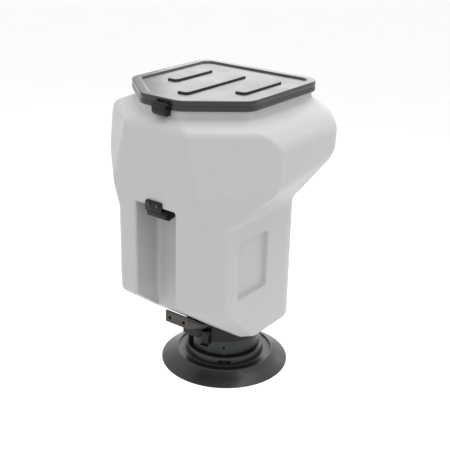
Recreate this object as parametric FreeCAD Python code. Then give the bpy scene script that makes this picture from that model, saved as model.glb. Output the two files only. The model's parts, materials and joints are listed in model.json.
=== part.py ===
import FreeCAD, Part
import math
import os

# Tailgate salt spreader, in millimetres, +Z up, -Y towards the vehicle.
# Every shape is drawn about the spinner axis, with z = 0 at the rim of the spread guard.
# save() then moves it so that the origin is the centre of the two lower mounting bolts.

# Feed outlet, drum and spread guard: each ring is sized from the one it fits
outlet_r = 98.0
drum_r = outlet_r + 12.0
drum_wall = 4.0
drum_bottom_z = 40.0
drum_top_z = 140.0
collar_gap = 2.0              # drum to the collar round it
collar_wall = 10.0
collar_inner_r = drum_r + collar_gap
collar_r = collar_inner_r + collar_wall
collar_bottom_z = drum_top_z - 24.0
guard_wall = 3.0
guard_bore_gap = 0.6
guard_sleeve_r = drum_r + 12.0
guard_sleeve_top_z = 60.0
guard_platform_r = guard_sleeve_r + 30.0
guard_platform_z = 30.0
guard_lip_height = 5.0
guard_lip_width = 5.0
guard_cone_width = 48.0
guard_r = guard_platform_r + guard_cone_width
slot_height = 7.0
slot_z = 45.0
guard_turn = 7.0              # degrees either way
guard_screw_r = 3.0
guard_screw_count = 3
guard_screw_angle = -53.6
slot_spare = 0.6              # degrees left at each end of a slot
vent_r = 4.0
vent_z = 88.0

# Hopper plan, in half widths from the spinner axis and in Y
upper_half_width = 300.0      # side faces of the upper body
lower_half_width = 195.0      # the same, below the crease
truck_face_y = -335.0         # flat face towards the vehicle
floor_rim = 17.0              # flat floor left behind the outlet
lower_back_y = outlet_r + floor_rim
upper_overhang = 50.0         # by which the upper body stands out behind the lower one
upper_back_y = lower_back_y + upper_overhang
back_corner_r = 90.0
front_corner_r = 24.0
wall = 5.0
lower_front_half = 125.0      # half length of the truck face's bottom edge
lower_corner_y = -265.0       # where the lower corner facet meets the side face
belly_front_half = 152.0
belly_corner_y = -188.0
side_top_front_half = 112.0
side_top_corner_y = -177.0
shoulder_half_width = upper_half_width - 38.0
shoulder_front_half = 104.0
shoulder_corner_y = -207.0

# Hopper heights, each from the level below it
floor_z = 183.0               # underside of the flat bottom
slope_toe_y = -outlet_r - 42.0  # where the flat bottom turns up towards the vehicle
slope_top_z = floor_z + 142.0   # where that slope meets the truck face
crease_z = floor_z + 389.0    # top of the straight lower body
belly_z = crease_z + 83.0     # lowest edge of the upper body, at the truck face
belly_tilt = 8.5              # degrees by which that edge rises towards the back
side_top_z = belly_z + 141.0  # top edge of the side faces
shoulder_z = side_top_z + 40.0  # top edge of the truck face
neck_z = shoulder_z + 26.0    # foot of the filling neck
neck_top_z = neck_z + 34.0

# Channel in the truck face that the vehicle's post lies in, and stiffening panels in the sides
channel_half_width = 70.0
channel_depth = 95.0
channel_top_z = crease_z + 34.0
channel_r = 12.0
panel_y = (-209.0, -67.0)
panel_z = (slope_top_z + 12.0, crease_z - 59.0)
panel_depth = 13.0
panel_r = 12.0

# Lid, which rests on a gasket on the neck's top edge
lid_half_width = shoulder_half_width - 50.5
lid_front_y = truck_face_y + 21.0
lid_back_y = upper_back_y - 13.0
lid_front_half = 64.0
lid_corner_y = -189.0
lid_back_r = 52.0
lid_front_r = 45.0
lid_pan_front_r = 20.0
lid_edge_r = 3.0
lid_skirt = 28.0
lid_wall = 3.0
lid_rim_width = 26.0
lid_panel_drop = 5.0
neck_inset = 10.0             # lid outline to neck outline
gasket_height = 6.0
gasket_width = 14.0
gasket_gap = 0.3              # between faces that close on each other without a fit
lid_top_z = neck_top_z + gasket_height + lid_wall + lid_panel_drop
rib_height = 5.0
rib_width = 9.0
rib_cap_length = 22.0
rib_places = ((-95.0, -135.0, 30.0), (21.0, -232.0, 35.0), (137.0, -130.0, 45.0))

# Lid hinge, on the truck side
hinge_x = 10.0                # middle of the hinge, beside the middle of the lid
hinge_pin_r = 2.5
hinge_knuckle_r = 5.0
hinge_web_top = 3.5           # web above the pin, low enough to swing past the cover's wall
hinge_half_width = 22.0
hinge_cheek = 4.0
hinge_cover_wall = 2.5
hinge_back_gap = 0.4          # cheeks' backs behind the knuckle, clear of the opening skirt
hinge_cover_gap = 1.0         # cover to knuckle
hinge_y = lid_front_y - 8.0
hinge_z = lid_top_z - 15.0
hinge_cover_y = hinge_y - hinge_knuckle_r - hinge_cover_gap - hinge_cover_wall
hinge_cover_top_z = hinge_z + 6.0
hinge_foot_z = neck_z + 2.0
hinge_foot_top_z = lid_top_z - lid_skirt - 2.0
running_gap = 0.05
side_gap = 0.5

# Lid latch, at the back
latch_half_width = 16.0
latch_strap = 5.0
latch_lug_half_height = 7.0
latch_pivot_z = lid_top_z - 17.0
latch_pivot_r = 3.0
latch_length = 42.0
latch_lug_reach = 17.0
latch_pull = 16.0
tee_half_width = 28.0
tee_r = 5.0

# Slide gate, which closes the outlet
gate_plate = 3.0
gate_half_width = outlet_r + 14.0
gate_guide_width = 14.0
gate_guide_floor = 4.0
gate_gap = 0.4
gate_neck = 44.0
gate_handle_half_width = 30.0
gate_handle_depth = 22.0
gate_handle_height = 30.0

# Mounting plate, under the hopper
plate = 5.0
bolt_head_r = 6.5
bolt_head_h = 4.0
plate_bolt_r = 3.0
plate_bolt_x = gate_half_width + gate_guide_width + 12.0
plate_half_width = plate_bolt_x + 12.0
plate_back_y = outlet_r + 14.0
plate_bolt_ys = (-90.0, 0.0, 85.0)
plate_gap = 1.5               # sloped part to the hopper's floor
tongue_half_width = 42.0
tongue_bottom_z = floor_z + 27.0
mount_hole_r = 5.5
mount_hole_x = 26.0
mount_z = floor_z + 43.0
slot_cover_half_width = 14.0  # bar across the outlet that covers the gate's slot

# Post hanger, at the top of the channel
hanger_half_width = 29.0
hanger_plate = 6.0
hanger_top_z = channel_top_z + 23.0
hook_half_width = 34.0
hook_y = (truck_face_y + 13.0, truck_face_y + 50.0)
hook_bottom_z = channel_top_z - 35.0
hanger_screw_x = 15.0
hanger_screw_head_r = 5.0
hanger_screw_head_h = 3.0

# Drive
motor_r = 34.0
motor_z = (22.0, 96.0)
gearbox_r = motor_r + 8.0
gearbox_z = (motor_z[1], motor_z[1] + 22.0)
bush_wall = 3.0
bush_length = 12.0
shaft_r = 8.0
shaft_bottom_z = -19.0
spider_r = motor_r + 12.0
spider_arm_width = 12.0
spider_z = (motor_z[1] - 12.0, motor_z[1])
spider_arms = 3
seal_r = 20.0
seal_height = 8.0
spinner_r = guard_r - 38.0
spinner_z = (-12.0, -8.0)
vane_count = 6
vane_height = 17.0
vane_thickness = 4.0
vane_inner_r = 36.0
hub_r = 26.0
hub_top_z = 8.0
nut_r = shaft_r + 4.0
nut_height = 7.0
auger_r = 46.0
auger_core_r = shaft_r + 4.0
auger_z = (floor_z + 3.0, floor_z + 113.0)
auger_pitch = 57.0
auger_flight = 4.0
agitator_r = 70.0
agitator_rod_r = 5.0
agitator_z = (auger_z[1] + 12.0, auger_z[1] + 34.0)
shaft_top_z = agitator_z[1] + 15.0

# Clamps that hold the drum to the collar
clamp_angles = (-81.0, 99.0)
clamp_half_width = 13.0
clamp_pivot_r = 2.5
clamp_plate = 4.0
clamp_pivot_z = collar_bottom_z + 32.0
clamp_bottom_z = collar_bottom_z - 12.0
clamp_cheek = 3.0
clamp_cheek_half_height = 6.0
clamp_r = collar_r + 9.0      # spinner axis to the pivot
keeper_half_width = 8.0

# Cable duct, from the drum to the gland on the collar
duct_angle = -127.0
duct_half_width = 8.0
duct_depth = 11.0
duct_z = (guard_sleeve_top_z + 3.0, collar_bottom_z - 2.0)
gland_r = 9.0
gland_length = 24.0
gland_bore_r = 3.5
gland_z = clamp_pivot_z - 12.0


V = FreeCAD.Vector
axis_z = V(0, 0, 1)
channel_back_y = truck_face_y + channel_depth
mount_offset = V(0, -channel_back_y, -mount_z)


def box(x0, x1, y0, y1, z0, z1):
    return Part.makeBox(x1 - x0, y1 - y0, z1 - z0, V(x0, y0, z0))


def rod(r, z0, z1, x=0.0, y=0.0):
    return Part.makeCylinder(r, z1 - z0, V(x, y, z0), axis_z)


def cross_rod(r, x0, x1, y, z):
    return Part.makeCylinder(r, x1 - x0, V(x0, y, z), V(1, 0, 0))


def ring(outer_r, inner_r, z0, z1):
    return rod(outer_r, z0, z1).cut(rod(inner_r, z0 - 1, z1 + 1))


def fuse(shapes):
    whole = shapes[0].multiFuse(shapes[1:]) if len(shapes) > 1 else shapes[0]
    return whole.removeSplitter()


def turned(shape, degrees):
    copy = shape.copy()
    copy.rotate(V(0, 0, 0), axis_z, degrees)
    return copy


def revolved(points):
    """Solid of revolution about Z of a closed outline of (radius, z) points."""
    outline = Part.makePolygon([V(r, 0, z) for r, z in points + points[:1]])
    return Part.Face(outline).revolve(V(0, 0, 0), axis_z, 360)


def side_prism(points, x0, x1):
    """Prism along X of a closed outline of (y, z) points."""
    outline = Part.makePolygon([V(x0, y, z) for y, z in points + points[:1]])
    return Part.Face(outline).extrude(V(x1 - x0, 0, 0))


def corners(half_width, front_y, front_half, corner_y, back_y):
    """The six corners of a level outline: truck edge, two corner facets, sides, back edge."""
    return [(-front_half, front_y), (front_half, front_y), (half_width, corner_y),
            (half_width, back_y), (-half_width, back_y), (-half_width, corner_y)]


def inset(points, distance):
    """Move every side of a counter-clockwise outline inwards by the same distance."""
    moved = []
    count = len(points)
    for i in range(count):
        lines = []
        for a, b in ((points[i - 1], points[i]), (points[i], points[(i + 1) % count])):
            dx, dy = b[0] - a[0], b[1] - a[1]
            length = math.hypot(dx, dy)
            nx, ny = -dy / length, dx / length
            lines.append((nx, ny, nx * a[0] + ny * a[1] + distance))
        (a1, b1, c1), (a2, b2, c2) = lines
        det = a1 * b2 - a2 * b1
        moved.append(((c1 * b2 - c2 * b1) / det, (a1 * c2 - a2 * c1) / det))
    return moved


def rounded_wire(points, front_r, back_r, z):
    """Closed level wire through the six corners, each rounded; the fourth and fifth are the back."""
    count = len(points)
    arcs = []
    for i in range(count):
        p = V(points[i][0], points[i][1], z)
        before = (V(points[i - 1][0], points[i - 1][1], z) - p)
        after = (V(points[(i + 1) % count][0], points[(i + 1) % count][1], z) - p)
        before.normalize()
        after.normalize()
        turn = math.pi - before.getAngle(after)
        r = back_r if i in (3, 4) else front_r
        reach = r * math.tan(turn / 2)
        bisector = before + after
        bisector.normalize()
        middle = p + bisector * (r / math.cos(turn / 2) - r)
        arcs.append((p + before * reach, middle, p + after * reach))
    edges = []
    for i in range(count):
        start, middle, end = arcs[i]
        edges.append(Part.Arc(start, middle, end).toShape())
        edges.append(Part.LineSegment(end, arcs[(i + 1) % count][0]).toShape())
    return Part.Wire(edges)


def prism(points, front_r, back_r, z0, z1):
    return Part.Face(rounded_wire(points, front_r, back_r, z0)).extrude(V(0, 0, z1 - z0))


def hopper_stations():
    """Level outlines of the hopper from the bottom up: (z, corners, front r, back r, tilt, lift).

    lift is the sense in which the inner skin's outline moves along Z: up in a floor or an
    underside, down in a shoulder.
    """
    toe_facet = 28.0
    round_in, round_up = 8.0, 6.0
    small_r = 14.0

    def toe(in_by, z):
        front = slope_toe_y - (z - floor_z) / slope + in_by
        return corners(lower_half_width - in_by, front, lower_half_width - toe_facet - in_by * 0.6,
                       front + toe_facet, lower_back_y - in_by)

    slope = (slope_top_z - floor_z) / (slope_toe_y - truck_face_y)
    lower = corners(lower_half_width, truck_face_y, lower_front_half, lower_corner_y, lower_back_y)
    brow = corners(lower_half_width, truck_face_y + round_in, lower_front_half + 3,
                   lower_corner_y + 14, lower_back_y)
    belly = corners(upper_half_width, truck_face_y, belly_front_half, belly_corner_y, upper_back_y)
    side_top = corners(upper_half_width, truck_face_y, side_top_front_half, side_top_corner_y,
                       upper_back_y)
    shoulder = corners(shoulder_half_width, truck_face_y, shoulder_front_half, shoulder_corner_y,
                       upper_back_y - 6)
    lid = corners(lid_half_width, lid_front_y, lid_front_half, lid_corner_y, lid_back_y)
    neck = inset(lid, neck_inset)
    return [
        (floor_z, toe(round_in, floor_z), small_r, back_corner_r - round_in, 0, 1),
        (floor_z + round_up, toe(2.0, floor_z + round_up), small_r, back_corner_r - 2, 0, 1),
        (floor_z + 2.5 * round_up, toe(0.0, floor_z + 2.5 * round_up), small_r, back_corner_r, 0, 1),
        (slope_top_z - round_up, brow, front_corner_r, back_corner_r, 0, 1),
        (slope_top_z + round_in, lower, front_corner_r, back_corner_r, 0, 1),
        (crease_z, lower, front_corner_r, back_corner_r, 0, 1),
        (belly_z - round_up, inset(belly, round_in), front_corner_r, back_corner_r, belly_tilt, 1),
        (belly_z + round_in, belly, front_corner_r, back_corner_r, belly_tilt, 1),
        (side_top_z - round_in, side_top, front_corner_r, back_corner_r, 0, -1),
        (side_top_z + round_up, inset(side_top, round_up), front_corner_r, back_corner_r, 0, -1),
        (shoulder_z, shoulder, front_corner_r, back_corner_r - 20, 0, -1),
        (neck_z, neck, front_corner_r, lid_back_r - neck_inset, 0, -1),
        (neck_top_z, neck, front_corner_r, lid_back_r - neck_inset, 0, 0),
    ]


def hopper_skin(offset):
    """Solid inside the hopper's outer surface, or inside the surface that lies offset further in."""
    wires = []
    for z, points, front_r, back_r, tilt, lift in hopper_stations():
        at = z + lift * offset
        shape = inset(points, offset) if offset else points
        wire = rounded_wire(shape, max(front_r - offset, 4.0), back_r - offset, at)
        if tilt:
            wire.rotate(V(0, truck_face_y, at), V(1, 0, 0), tilt)
        wires.append(wire)
    if offset:
        wires.append(rounded_wire(inset(hopper_stations()[-1][1], offset), front_corner_r - offset,
                                  lid_back_r - neck_inset - offset, neck_top_z + 2))
    return Part.makeLoft(wires, True, True)


def channel(grow):
    """Space of the post channel, grown by a wall."""
    half = channel_half_width + grow
    back = channel_back_y + grow
    block = box(-half, half, truck_face_y - 50, back, floor_z - 50, channel_top_z + grow)
    upright = [e for e in block.Edges if e.Vertexes[0].Point.y > back - 1
               and e.Vertexes[-1].Point.y > back - 1]
    return block.makeFillet(channel_r, upright)


def side_panel(side, grow):
    """Space of the shallow stiffening panel in one side face, grown by a wall."""
    inner = lower_half_width - panel_depth - grow
    outer = lower_half_width + 20
    block = box(inner, outer, panel_y[0] - grow, panel_y[1] + grow, panel_z[0] - grow, panel_z[1] + grow)
    rim = [e for e in block.Edges if abs(e.Length - (outer - inner)) < 0.01]
    block = block.makeFillet(panel_r, rim)
    return block if side > 0 else block.mirror(V(0, 0, 0), V(1, 0, 0))


def hopper_shell():
    outer = hopper_skin(0.0).cut(channel(0.0)).cut(side_panel(1, 0.0)).cut(side_panel(-1, 0.0))
    inner = hopper_skin(wall).cut(channel(wall)).cut(side_panel(1, wall)).cut(side_panel(-1, wall))
    return outer.cut(inner).cut(rod(outlet_r, floor_z - 20, floor_z + 20))


def lid_outline():
    return corners(lid_half_width, lid_front_y, lid_front_half, lid_corner_y, lid_back_y)


def rib(x, y0, y1):
    """Low rib along Y with its truck-side end turned across."""
    z0 = lid_top_z - lid_panel_drop
    long_bar = box(x - rib_width / 2, x + rib_width / 2, y0, y1, z0, z0 + rib_height)
    cap = box(x - rib_width / 2 - rib_cap_length, x + rib_width / 2, y0, y0 + rib_width, z0,
              z0 + rib_height)
    return long_bar.fuse(cap)


def lid_panel():
    outline = lid_outline()
    underside = lid_top_z - lid_panel_drop - lid_wall
    body = prism(outline, lid_front_r, lid_back_r, lid_top_z - lid_skirt, lid_top_z)
    edges = [e for e in body.Edges if e.BoundBox.ZMin > lid_top_z - 0.01]
    body = body.makeFillet(lid_edge_r, edges)
    pan = prism(inset(outline, lid_rim_width), lid_pan_front_r, lid_back_r - lid_rim_width + 4,
                lid_top_z - lid_panel_drop, lid_top_z + 1)
    hollow = prism(inset(outline, lid_wall), lid_front_r - lid_wall, lid_back_r - lid_wall,
                   lid_top_z - lid_skirt - 1, underside)
    shapes = [body.cut(pan).cut(hollow)]
    for x, y0, y1 in rib_places:
        shapes.append(rib(x, y0, y1))
    knuckle_half = hinge_half_width - hinge_cheek - side_gap
    x0, x1 = hinge_x - knuckle_half, hinge_x + knuckle_half
    shapes.append(cross_rod(hinge_knuckle_r, x0, x1, hinge_y, hinge_z))
    shapes.append(box(x0, x1, hinge_y, lid_front_y + 1,
                      hinge_z - hinge_knuckle_r, hinge_z + hinge_web_top))
    lug_end = lid_back_y + latch_lug_reach
    for side in (-1, 1):
        inner = side * (latch_half_width + side_gap)
        outer = side * (latch_half_width + side_gap + hinge_cheek)
        shapes.append(box(min(inner, outer), max(inner, outer), lid_back_y - 1, lug_end,
                          latch_pivot_z - latch_lug_half_height,
                          latch_pivot_z + latch_lug_half_height))
    lid = fuse(shapes)
    lid = lid.cut(cross_rod(hinge_pin_r + running_gap, -60, 60, hinge_y, hinge_z))
    return lid.cut(cross_rod(latch_pivot_r, -60, 60, latch_pivot_y(), latch_pivot_z))


def lid_gasket():
    outline = lid_outline()
    top = lid_top_z - lid_panel_drop - lid_wall
    outer = inset(outline, neck_inset - 2)
    solid = prism(outer, front_corner_r, lid_back_r - neck_inset + 2, neck_top_z, top)
    return solid.cut(prism(inset(outer, gasket_width), front_corner_r - gasket_width,
                           lid_back_r - neck_inset - 2, neck_top_z - 1, top + 1))


def latch_pivot_y():
    return lid_back_y + latch_lug_reach - 5.5


def lid_hinge_bracket():
    """Moulded cover with two cheeks that carry the pin, on a foot against the neck."""
    neck_y = lid_front_y + neck_inset
    back_y = hinge_y + hinge_knuckle_r - hinge_back_gap
    profile = [(hinge_cover_y, hinge_foot_z + 10), (hinge_cover_y, hinge_cover_top_z),
               (back_y, hinge_cover_top_z), (back_y, hinge_foot_top_z), (neck_y, hinge_foot_top_z),
               (neck_y, hinge_foot_z), (hinge_cover_y + 9, hinge_foot_z)]
    x0, x1 = hinge_x - hinge_half_width, hinge_x + hinge_half_width
    body = side_prism(profile, x0, x1)
    space = box(x0 + hinge_cheek, x1 - hinge_cheek, hinge_cover_y + hinge_cover_wall, neck_y + 40,
                hinge_z - 13, hinge_z + 30)
    body = body.cut(space).cut(cross_rod(hinge_pin_r, x0 - 1, x1 + 1, hinge_y, hinge_z))
    return body.cut(hopper_skin(0.0))


def lid_hinge_pin():
    reach = hinge_half_width + 1.5
    return cross_rod(hinge_pin_r, hinge_x - reach, hinge_x + reach, hinge_y, hinge_z)


def latch_pin():
    reach = latch_half_width + side_gap + hinge_cheek
    return cross_rod(latch_pivot_r, -reach, reach, latch_pivot_y(), latch_pivot_z)


def latch_strap_piece():
    """Rubber strap that hangs from the lid's lugs and ends in a tee that the catch holds."""
    y = latch_pivot_y()
    low = latch_pivot_z - latch_length
    eye = cross_rod(latch_pivot_r + 3.5, -latch_half_width, latch_half_width, y, latch_pivot_z)
    strap = box(-latch_half_width + 3, latch_half_width - 3, y - latch_strap / 2, y + latch_strap / 2,
                low, latch_pivot_z)
    tee = cross_rod(tee_r, -tee_half_width, tee_half_width, y, low)
    pull = box(-8, 8, y - latch_strap / 2, y + latch_strap / 2,
               low - latch_pull, low)
    body = fuse([eye, strap, tee, pull])
    return body.cut(cross_rod(latch_pivot_r + running_gap, -60, 60, y, latch_pivot_z))


def latch_catch():
    """Wedge on the shoulder whose flat face the tee closes against."""
    low = latch_pivot_z - latch_length
    face = latch_pivot_y() - tee_r - gasket_gap
    block = box(-tee_half_width - 2, tee_half_width + 2, face - 30, face, low - 3, low + 11)
    return block.cut(hopper_skin(0.0))


def mounting_plate():
    """Bent plate: level part around the outlet, sloped part under the floor, tongue at the post."""
    top = floor_z
    low = floor_z - plate
    slope = (slope_top_z - floor_z) / (slope_toe_y - truck_face_y)
    face_y = channel_back_y
    level = box(-plate_half_width, plate_half_width, slope_toe_y + 8, plate_back_y, low, top)
    upright = [e for e in level.Edges if abs(e.Length - plate) < 0.01]
    level = level.makeFillet(20.0, upright)
    knee_z = top + (slope_toe_y - face_y) * slope - plate_gap - 8
    ramp = side_prism([(slope_toe_y + 30, top), (slope_toe_y - 8, top), (face_y + plate, knee_z),
                       (face_y, knee_z), (face_y, knee_z - plate * 1.4), (slope_toe_y - 12, low),
                       (slope_toe_y + 30, low)], -tongue_half_width, tongue_half_width)
    tongue = box(-tongue_half_width, tongue_half_width, face_y, face_y + plate, tongue_bottom_z, knee_z)
    cheeks = []
    for side in (-1, 1):
        x0, x1 = sorted((side * (tongue_half_width - plate), side * tongue_half_width))
        cheeks.append(side_prism([(face_y, tongue_bottom_z), (face_y, knee_z - 4),
                                  (slope_toe_y, low + 3), (slope_toe_y, low),
                                  (slope_toe_y - 20, low)], x0, x1))
    body = fuse([level, ramp, tongue] + cheeks)
    cover = box(-slot_cover_half_width, slot_cover_half_width, shaft_r + 6, outlet_r + 5, low - 5, top + 5)
    body = body.cut(rod(outlet_r, low - 5, top + 5).cut(cover))
    for side in (-1, 1):
        hole = Part.makeCylinder(mount_hole_r, plate + 2, V(side * mount_hole_x, face_y - 1, mount_z),
                                 V(0, 1, 0))
        body = body.cut(hole)
    for x, y in plate_bolt_places():
        body = body.cut(rod(plate_bolt_r, low - 5, top + 5, x, y))
    return body


def plate_bolt_places():
    return [(side * plate_bolt_x, y) for side in (-1, 1) for y in plate_bolt_ys]


def plate_bolts():
    low = floor_z - plate
    bolts = []
    for x, y in plate_bolt_places():
        head = hexagon(bolt_head_r, low - bolt_head_h, low, x, y)
        bolts.append(head.fuse(rod(plate_bolt_r, low - 1, floor_z, x, y)))
    return Part.makeCompound(bolts)


def hexagon(r, z0, z1, x=0.0, y=0.0):
    points = []
    for i in range(7):
        a = math.radians(60 * i)
        points.append(V(x + r * math.cos(a), y + r * math.sin(a), z0))
    return Part.Face(Part.makePolygon(points)).extrude(V(0, 0, z1 - z0))


def post_hanger():
    """Hook over the top edge of the channel that the post's upper pin drops into."""
    face = truck_face_y
    top = channel_top_z
    tongue = box(-hanger_half_width, hanger_half_width, face - hanger_plate, face, top - 8, hanger_top_z)
    corners_up = [e for e in tongue.Edges if abs(e.Length - hanger_plate) < 0.01
                  and e.BoundBox.ZMin > top]
    tongue = tongue.makeFillet(8.0, corners_up)
    web = box(-hanger_half_width + 6, hanger_half_width - 6, face - hanger_plate, hook_y[1], top - 8, top)
    hook = side_prism([(hook_y[0], top), (hook_y[0] - 8, top - 16), (hook_y[0] - 4, hook_bottom_z + 6),
                       (hook_y[0] + 8, hook_bottom_z), (hook_y[1], hook_bottom_z + 6),
                       (hook_y[1], top)], -hook_half_width, hook_half_width)
    return fuse([tongue, web, hook])


def hanger_screws():
    z = (channel_top_z + hanger_top_z) / 2
    y = truck_face_y - hanger_plate - hanger_screw_head_h
    heads = [Part.makeCylinder(hanger_screw_head_r, hanger_screw_head_h, V(side * hanger_screw_x, y, z),
                               V(0, 1, 0)) for side in (-1, 1)]
    return Part.makeCompound(heads)


def gate_z():
    top = floor_z - plate - gate_gap
    return top - gate_plate, top


def gate_slide():
    z0, z1 = gate_z()
    back = outlet_r + 6
    front = -outlet_r - 12
    leaf = box(-gate_half_width, gate_half_width, front, back, z0, z1)
    neck = box(-gate_handle_half_width, gate_handle_half_width, front - gate_neck, front, z0, z1)
    slot_half = shaft_r + gate_gap + side_gap
    slot = box(-slot_half, slot_half, 0, back + 1, z0 - 1, z1 + 1).fuse(rod(slot_half, z0 - 1, z1 + 1))
    return fuse([leaf, neck]).cut(slot)


def gate_handle():
    z0, z1 = gate_z()
    front = -outlet_r - 12 - gate_neck
    body = box(-gate_handle_half_width, gate_handle_half_width, front - gate_handle_depth, front,
               z1 - gate_handle_height, z1)
    return body.makeFillet(5.0, [e for e in body.Edges if e.BoundBox.YMax < front - 1])


def gate_guides():
    """Two rebated rails that hold the gate up against the mounting plate."""
    z0, z1 = gate_z()
    guides = []
    for side in (-1, 1):
        near = side * (gate_half_width + gate_gap)
        far = side * (gate_half_width + gate_gap + gate_guide_width)
        lip = side * (gate_half_width - 6)
        x0, x1 = sorted((near, far))
        rail = box(x0, x1, -outlet_r - 8, outlet_r, z0 - gate_gap - gate_guide_floor,
                   floor_z - plate)
        x0, x1 = sorted((lip, far))
        shelf = box(x0, x1, -outlet_r - 8, outlet_r, z0 - gate_gap - gate_guide_floor, z0 - gate_gap)
        guides.append(rail.fuse(shelf).removeSplitter())
    return Part.makeCompound(guides)


def feed_collar():
    """Flanged ring that hangs under the gate's guides and takes the drum's top."""
    top = gate_z()[0] - gate_gap - gate_guide_floor
    return revolved([(collar_inner_r, collar_bottom_z), (collar_r, collar_bottom_z),
                     (collar_r, top - 6), (collar_r + 6, top - 6), (collar_r + 6, top),
                     (outlet_r + 6, top), (outlet_r + 6, top + gate_guide_floor),
                     (outlet_r, top + gate_guide_floor),
                     (outlet_r, top - 10), (collar_inner_r, drum_top_z + 0.5)])


def drum():
    body = ring(drum_r, drum_r - drum_wall, drum_bottom_z, drum_top_z)
    vent = Part.makeCylinder(vent_r, drum_r + 10, V(0, 0, vent_z), V(1, 0, 0))
    body = body.cut(turned(vent, guard_screw_angle - 1))
    for i in range(guard_screw_count):
        hole = Part.makeCylinder(guard_screw_r, drum_r + 10, V(0, 0, slot_z), V(1, 0, 0))
        body = body.cut(turned(hole, guard_screw_angle + i * 360 / guard_screw_count))
    return body


def spread_guard():
    """Cone, platform with a raised lip, and the slotted sleeve that turns on the drum."""
    bore = drum_r + guard_bore_gap
    t = guard_wall
    lip = guard_platform_z + guard_lip_height
    profile = [(bore, guard_platform_z - t), (guard_platform_r - t, guard_platform_z - t),
               (guard_r - 2 * t, 0), (guard_r, 0), (guard_r, t),
               (guard_platform_r + t, guard_platform_z), (guard_platform_r, lip),
               (guard_platform_r - guard_lip_width, lip),
               (guard_platform_r - guard_lip_width, guard_platform_z),
               (guard_sleeve_r, guard_platform_z), (guard_sleeve_r, guard_sleeve_top_z),
               (bore, guard_sleeve_top_z)]
    body = revolved(profile)
    for i in range(guard_screw_count):
        centre = guard_screw_angle + i * 360 / guard_screw_count
        body = body.cut(turned(slot_cutter(), centre))
    return body


def slot_cutter():
    """Curved slot about the +X direction, through the sleeve."""
    slot_half_angle = guard_turn + slot_spare + math.degrees(guard_screw_r / drum_r)
    z0, z1 = slot_z - slot_height / 2, slot_z + slot_height / 2
    outline = Part.makePolygon([V(drum_r - 4, 0, z0), V(guard_sleeve_r + 10, 0, z0),
                                V(guard_sleeve_r + 10, 0, z1), V(drum_r - 4, 0, z1),
                                V(drum_r - 4, 0, z0)])
    wedge = Part.Face(outline).revolve(V(0, 0, 0), axis_z, 2 * slot_half_angle)
    return turned(wedge, -slot_half_angle)


def guard_screws():
    screws = []
    for i in range(guard_screw_count):
        length = guard_sleeve_r - drum_r + drum_wall - 1
        screw = Part.makeCylinder(guard_screw_r, length, V(drum_r - drum_wall, 0, slot_z), V(1, 0, 0))
        screws.append(turned(screw, guard_screw_angle + i * 360 / guard_screw_count))
    return Part.makeCompound(screws)


def motor_spider():
    """Ring round the motor on three arms that reach the drum's wall."""
    z0, z1 = spider_z
    inner = drum_r - drum_wall
    parts = [ring(spider_r, motor_r, z0, z1)]
    for i in range(spider_arms):
        arm = box(spider_r - 4, inner - 0.2, -spider_arm_width / 2, spider_arm_width / 2, z0, z1)
        parts.append(turned(arm, 90 + i * 360 / spider_arms))
    body = fuse(parts)
    return body.common(rod(inner, z0 - 1, z1 + 1))


def motor():
    z0, z1 = motor_z
    return rod(motor_r, z0, z1).cut(rod(shaft_r + bush_wall, z0 - 1, z1 + 1))


def gearbox():
    z0, z1 = gearbox_z
    body = rod(gearbox_r, z0, z1)
    body = body.makeFillet(4.0, [e for e in body.Edges if e.BoundBox.ZMin > z1 - 0.01])
    return body.cut(rod(shaft_r + bush_wall, z0 - 1, z1 + 1))


def shaft_bushes():
    """Plain bushes pressed into the motor's foot and the gearbox's lid."""
    outer, inner = shaft_r + bush_wall, shaft_r + running_gap
    low = ring(outer, inner, motor_z[0], motor_z[0] + bush_length)
    high = ring(outer, inner, gearbox_z[1] - bush_length, gearbox_z[1])
    return Part.makeCompound([low, high])


def shaft_seal():
    z0 = gearbox_z[1]
    return revolved([(shaft_r + 0.3, z0), (seal_r, z0), (seal_r - 6, z0 + seal_height),
                     (shaft_r + 0.3, z0 + seal_height)])


def drive_shaft():
    return rod(shaft_r, shaft_bottom_z, shaft_top_z)


def spinner_disc():
    z0, z1 = spinner_z
    parts = [ring(spinner_r, shaft_r, z0, z1)]
    for i in range(vane_count):
        vane = side_prism([(vane_inner_r, z1 - 1), (spinner_r - 2, z1 - 1),
                           (spinner_r - 2, z1 + vane_height * 0.55),
                           (spinner_r - 34, z1 + vane_height), (vane_inner_r + 14, z1 + vane_height)],
                          -vane_thickness / 2, vane_thickness / 2)
        parts.append(turned(vane, i * 360 / vane_count))
    return fuse(parts)


def spinner_hub():
    z1 = spinner_z[1]
    body = revolved([(shaft_r, z1), (hub_r, z1), (hub_r, z1 + 5), (hub_r - 9, z1 + 9),
                     (hub_r - 9, hub_top_z), (shaft_r, hub_top_z)])
    return body


def spinner_nut():
    z0 = spinner_z[0] - nut_height
    return hexagon(nut_r, z0, spinner_z[0]).cut(rod(shaft_r, z0 - 1, spinner_z[0] + 1))


def auger_tube():
    return ring(auger_core_r, shaft_r, auger_z[0], auger_z[1])


def auger_flight_piece():
    """One helical flight, welded round the tube."""
    rise = auger_z[1] - auger_z[0] - auger_flight
    turns = rise / auger_pitch
    steps = math.ceil(24 * turns)
    radii = [auger_core_r + (auger_r - auger_core_r) * k / 3 for k in range(4)]
    rows = []
    for i in range(steps + 1):
        a = 2 * math.pi * turns * i / steps
        z = auger_z[0] + rise * i / steps
        rows.append([V(r * math.cos(a), r * math.sin(a), z) for r in radii])
    surface = Part.BSplineSurface()
    surface.interpolate(rows)
    return surface.toShape().extrude(V(0, 0, auger_flight))


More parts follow.
